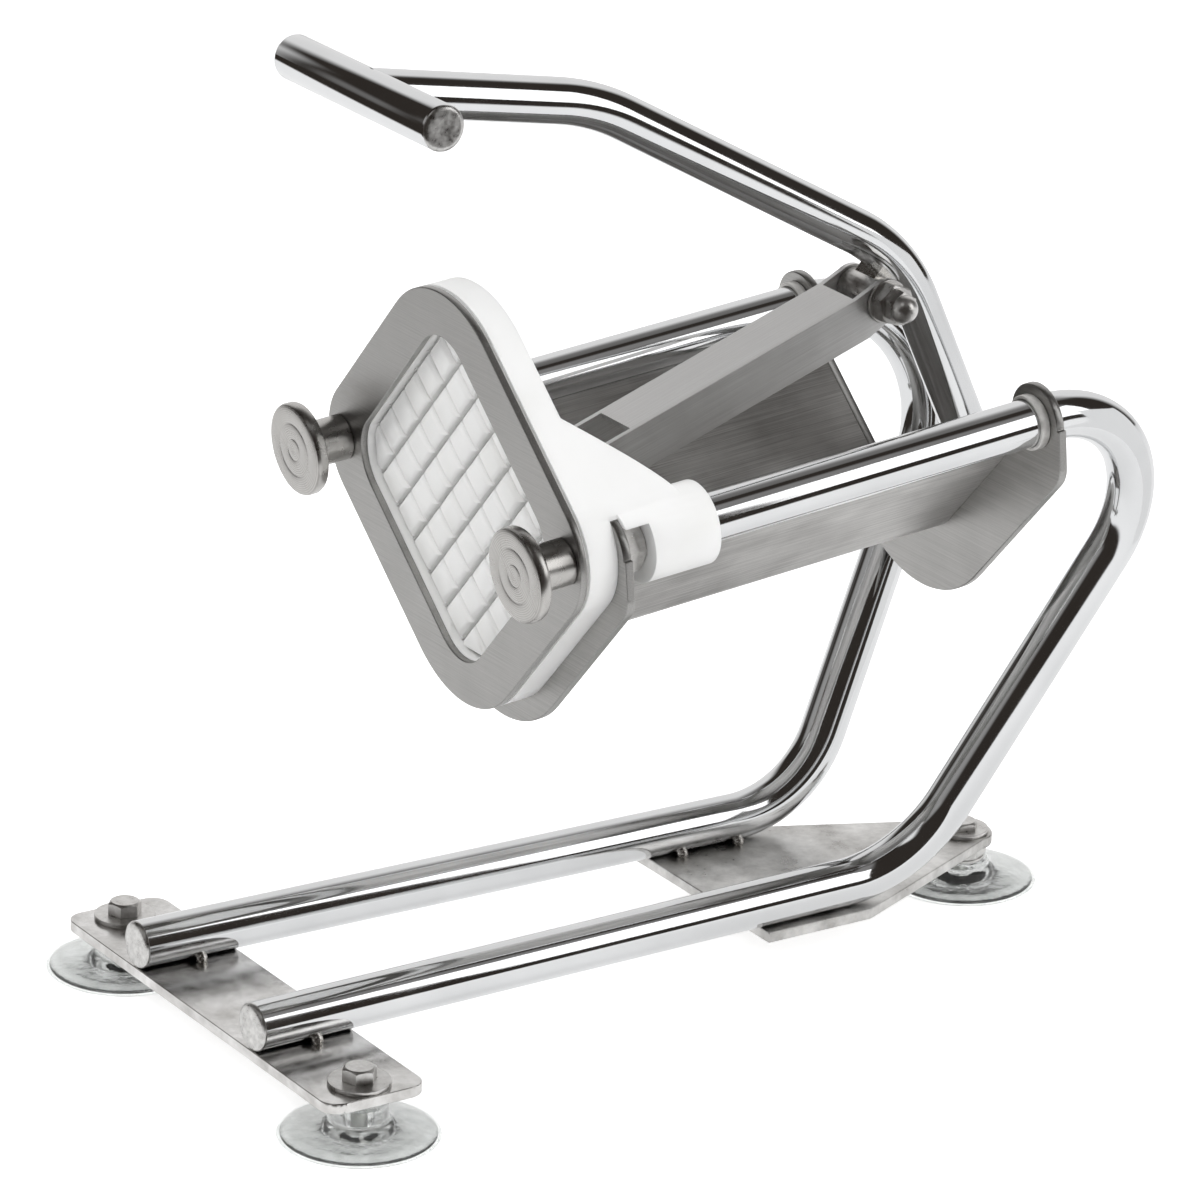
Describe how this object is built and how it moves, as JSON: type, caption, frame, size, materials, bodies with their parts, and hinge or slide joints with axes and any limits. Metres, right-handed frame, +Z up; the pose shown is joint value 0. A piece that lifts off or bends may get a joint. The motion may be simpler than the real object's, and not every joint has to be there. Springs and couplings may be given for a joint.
{
  "type": "french fry cutter",
  "caption": "Hand lever french fry cutter: bent tube stand on suction cups, V trough, square blade grid on its corner, and a pusher worked by a T handle lever through a link",
  "frame": {"origin": "on the table, in the middle plane, half way between the front and the rear of the stand", "axes": "+X to the right as seen from the front, +Y to the rear, +Z up"},
  "size_m": [0.1626, 0.2705, 0.2566],
  "materials": {
    "chrome": "mirror plated tube",
    "brushed": "brushed stainless sheet",
    "fastener": "bright zinc fasteners",
    "weld": "plain weld metal",
    "white_plastic": "moulded white plastic",
    "clear_rubber": "clear soft plastic, slightly grey"
  },
  "bodies": {
    "stand": {"front_plate": "chrome", "rear_plate": "brushed", "frame_tube_left": "chrome", "frame_tube_right": "chrome", "tube_end_caps": "chrome", "weld_beads": "weld", "suction_cup_left": "clear_rubber", "suction_cup_right": "clear_rubber", "suction_cup_rear": "clear_rubber", "foot_bolts": "fastener", "foot_washers": "fastener", "foot_nuts": "fastener", "rear_foot_stack": "fastener", "trough": "brushed", "trough_rear_plate": "brushed", "trough_front_plate": "brushed", "rail_collars": "chrome", "pivot_bracket": "brushed", "pivot_bolt": "fastener", "pivot_nut": "fastener", "head_block": "white_plastic", "head_frame": "brushed", "blade_holder": "brushed", "blades_rising": "brushed", "blades_falling": "brushed", "clamp_studs": "fastener", "clamp_nuts": "fastener"},
    "knob_l": {"knob_left": "brushed"},
    "knob_r": {"knob_right": "brushed"},
    "pusher": {"pusher_block": "white_plastic", "pusher_shoe": "white_plastic", "pusher_yoke": "brushed", "pusher_screws": "fastener"},
    "link": {"link_channel": "brushed", "link_pin": "fastener", "link_pin_rings": "fastener"},
    "lever": {"lever_tube": "chrome", "handle_bar": "chrome", "lever_hub": "chrome", "lever_sleeve": "brushed", "lever_weld": "weld", "link_bolt": "fastener", "link_washers": "fastener", "link_nut": "fastener", "acorn_nut": "fastener"}
  },
  "joints": [
    {"name": "lever_pivot", "type": "hinge", "parent": "stand", "child": "lever", "pos_m": [0, 0.11602, 0.1162], "axis": [-1, 0, 0], "range_deg": [0, 70]},
    {"name": "link_hinge", "type": "hinge", "parent": "lever", "child": "link", "pos_m": [0, 0.07503, 0.17493], "axis": [1, 0, 0], "range_deg": [0, 65.72]},
    {"name": "pusher_slide", "type": "slide", "parent": "stand", "child": "pusher", "axis": [0, 0.9959, 0.0906], "range_m": [0, 0.08029]},
    {"name": "knob_left_turn", "type": "hinge", "parent": "stand", "child": "knob_l", "pos_m": [-0.054, -0.0528, 0.1397], "axis": [0, 0.9959, 0.0906], "continuous": true},
    {"name": "knob_right_turn", "type": "hinge", "parent": "stand", "child": "knob_r", "pos_m": [0.054, -0.0528, 0.1397], "axis": [0, 0.9959, 0.0906], "continuous": true}
  ],
  "couplings": [
    {"joint": "link_hinge", "follows": "lever_pivot", "ratio": 0.93747},
    {"joint": "pusher_slide", "follows": "lever_pivot", "m_per_rad": 0.065633}
  ]
}
